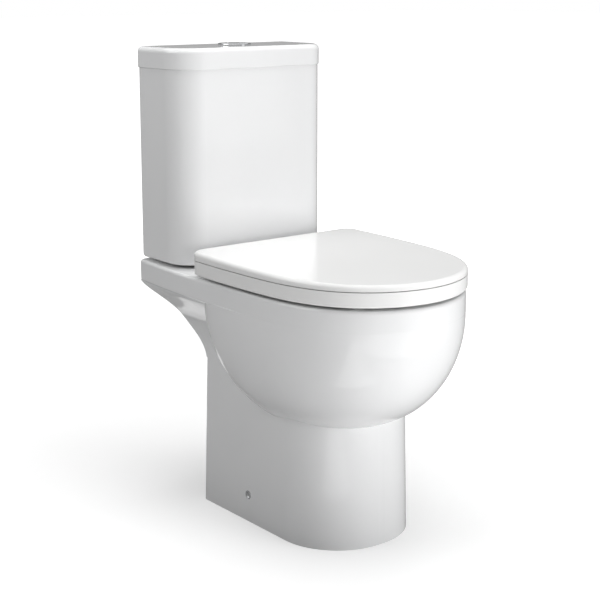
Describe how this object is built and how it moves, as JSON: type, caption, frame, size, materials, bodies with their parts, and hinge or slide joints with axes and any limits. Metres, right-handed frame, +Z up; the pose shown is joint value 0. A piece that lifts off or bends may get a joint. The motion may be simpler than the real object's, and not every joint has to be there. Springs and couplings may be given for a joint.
{
  "type": "close coupled toilet",
  "caption": "Close coupled floor standing toilet: ceramic pan with rounded bowl and hollow foot, cistern with lid and dual flush button, hinged seat and lid.",
  "frame": {"origin": "on the floor, at the middle of the width and of the depth", "axes": "+Z up, the front of the bowl faces -Y, +X to the right of someone standing in front and facing it"},
  "size_m": [0.3648, 0.604, 0.8215],
  "materials": {
    "ceramic": "gloss",
    "seat_plastic": "gloss",
    "white_plastic": "satin",
    "blue_plastic": "satin",
    "chrome": "polished",
    "steel": "satin",
    "rubber": "matt",
    "buffer": "matt"
  },
  "bodies": {
    "toilet": {"pan": "ceramic", "cistern_tank": "ceramic", "flush_valve_base": "white_plastic", "flush_valve_backnut": "white_plastic", "coupling_seal": "rubber", "flush_valve_cage": "white_plastic", "coupling_bolts": "steel", "coupling_rubber_washers": "rubber", "coupling_spacers": "rubber", "coupling_steel_washers": "steel", "coupling_wing_nuts": "steel", "fill_valve": "white_plastic", "fill_valve_washer": "rubber", "fill_valve_nut": "white_plastic", "hinge_posts": "chrome", "hinge_pins": "steel", "seat_bolts": "steel", "seat_bolt_washers": "rubber", "seat_wing_nuts": "white_plastic", "floor_brackets": "white_plastic", "floor_screws": "steel", "side_screws": "steel", "screw_collars": "chrome"},
    "seat_ring_body": {"seat_ring": "seat_plastic", "ring_buffers": "buffer"},
    "seat_lid_body": {"seat_lid": "seat_plastic", "lid_buffers": "buffer"},
    "cistern_lid_body": {"cistern_lid": "ceramic", "button_bezel": "chrome", "bezel_nut": "white_plastic"},
    "full_button_body": {"full_flush_button": "chrome", "full_push_rod": "white_plastic"},
    "half_button_body": {"half_flush_button": "chrome", "half_push_rod": "white_plastic"},
    "overflow_tube_body": {"overflow_tube": "blue_plastic", "flush_seal": "rubber"},
    "float_body": {"float_cup": "blue_plastic", "float_rod": "white_plastic"}
  },
  "joints": [
    {"name": "lid_hinge", "type": "hinge", "parent": "toilet", "child": "seat_lid_body", "pos_m": [0, 0.126, 0.463], "axis": [-1, 0, 0], "range_deg": [0, 92]},
    {"name": "ring_hinge", "type": "hinge", "parent": "toilet", "child": "seat_ring_body", "pos_m": [0, 0.126, 0.463], "axis": [-1, 0, 0], "range_deg": [0, 92]},
    {"name": "cistern_lid_lift", "type": "slide", "parent": "toilet", "child": "cistern_lid_body", "axis": [0, 0, 1], "range_m": [0, 0.15]},
    {"name": "full_flush_press", "type": "slide", "parent": "cistern_lid_body", "child": "full_button_body", "axis": [0, 0, -1], "range_m": [0, 0.007], "stiffness_N_per_m": 400, "springref_m": -0.004},
    {"name": "half_flush_press", "type": "slide", "parent": "cistern_lid_body", "child": "half_button_body", "axis": [0, 0, -1], "range_m": [0, 0.007], "stiffness_N_per_m": 400, "springref_m": -0.004},
    {"name": "overflow_tube_lift", "type": "slide", "parent": "toilet", "child": "overflow_tube_body", "axis": [0, 0, 1], "range_m": [0, 0.007]},
    {"name": "float_rise", "type": "slide", "parent": "toilet", "child": "float_body", "axis": [0, 0, 1], "range_m": [0, 0.02]}
  ],
  "couplings": [
    {"joint": "ring_hinge", "follows": "lid_hinge", "ratio": 1},
    {"joint": "overflow_tube_lift", "follows": "full_flush_press", "ratio": 1}
  ]
}
